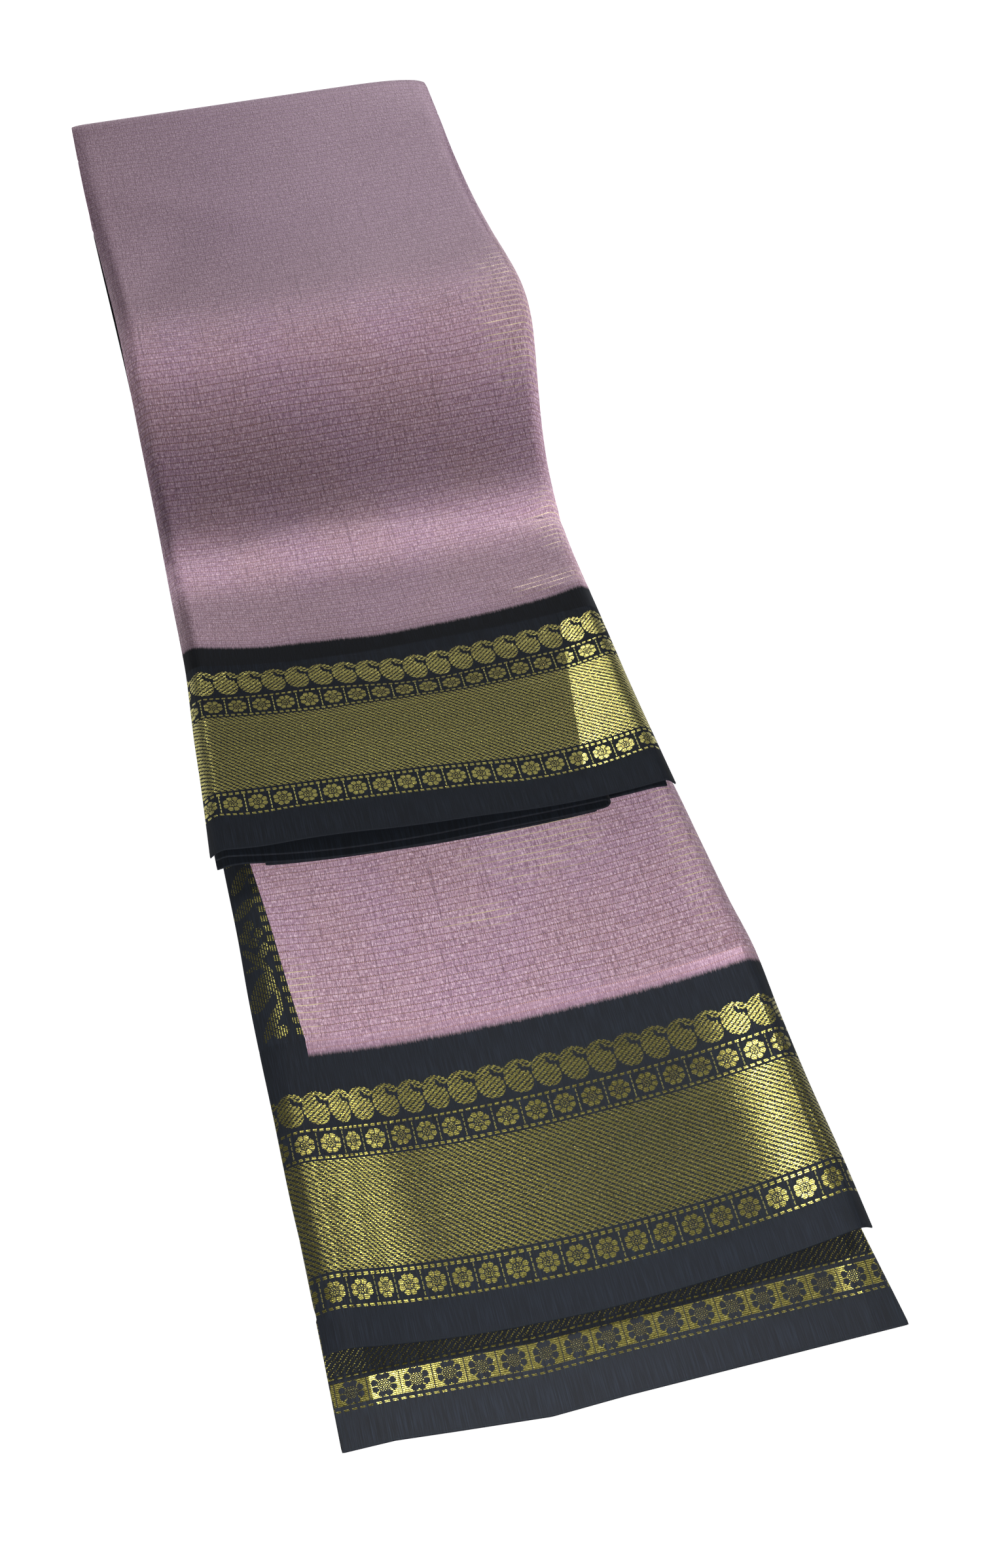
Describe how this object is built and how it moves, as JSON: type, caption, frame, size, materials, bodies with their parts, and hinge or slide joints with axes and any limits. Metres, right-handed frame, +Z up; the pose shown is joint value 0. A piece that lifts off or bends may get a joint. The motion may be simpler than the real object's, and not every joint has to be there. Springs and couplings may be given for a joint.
{
  "type": "folded sari",
  "caption": "Sari folded lengthwise into a strip and turned back over itself, lying flat, with woven gold borders at the near end and a checked lavender body",
  "frame": {"origin": "centre of the footprint, on the surface that the sari rests on", "axes": "+Y runs along the strip from the near hem to the far fold, +X is to the right, +Z is up"},
  "size_m": [0.189, 0.655, 0.0495],
  "materials": {
    "lavender_cloth": "slubby silk with fine gold lines",
    "border_cloth": "gold brocade on near black silk",
    "pallu_cloth": "near black silk with gold stripes",
    "reverse_cloth": "wrong side of the gold brocade",
    "layered_cloth": "folded edges of silk"
  },
  "bodies": {
    "root": {"upper_body": "lavender_cloth", "upper_border": "border_cloth", "far_fold": "lavender_cloth", "underside": "lavender_cloth", "lowest_border": "reverse_cloth", "lower_border": "border_cloth", "lower_body": "lavender_cloth", "lower_pallu": "pallu_cloth", "lower_layers": "layered_cloth", "upper_layers": "layered_cloth", "under_hem_loop": "layered_cloth", "under_hem_third": "layered_cloth", "under_hem_fourth": "layered_cloth", "lower_hem_second": "layered_cloth", "lower_hem_third": "layered_cloth"}
  },
  "joints": []
}
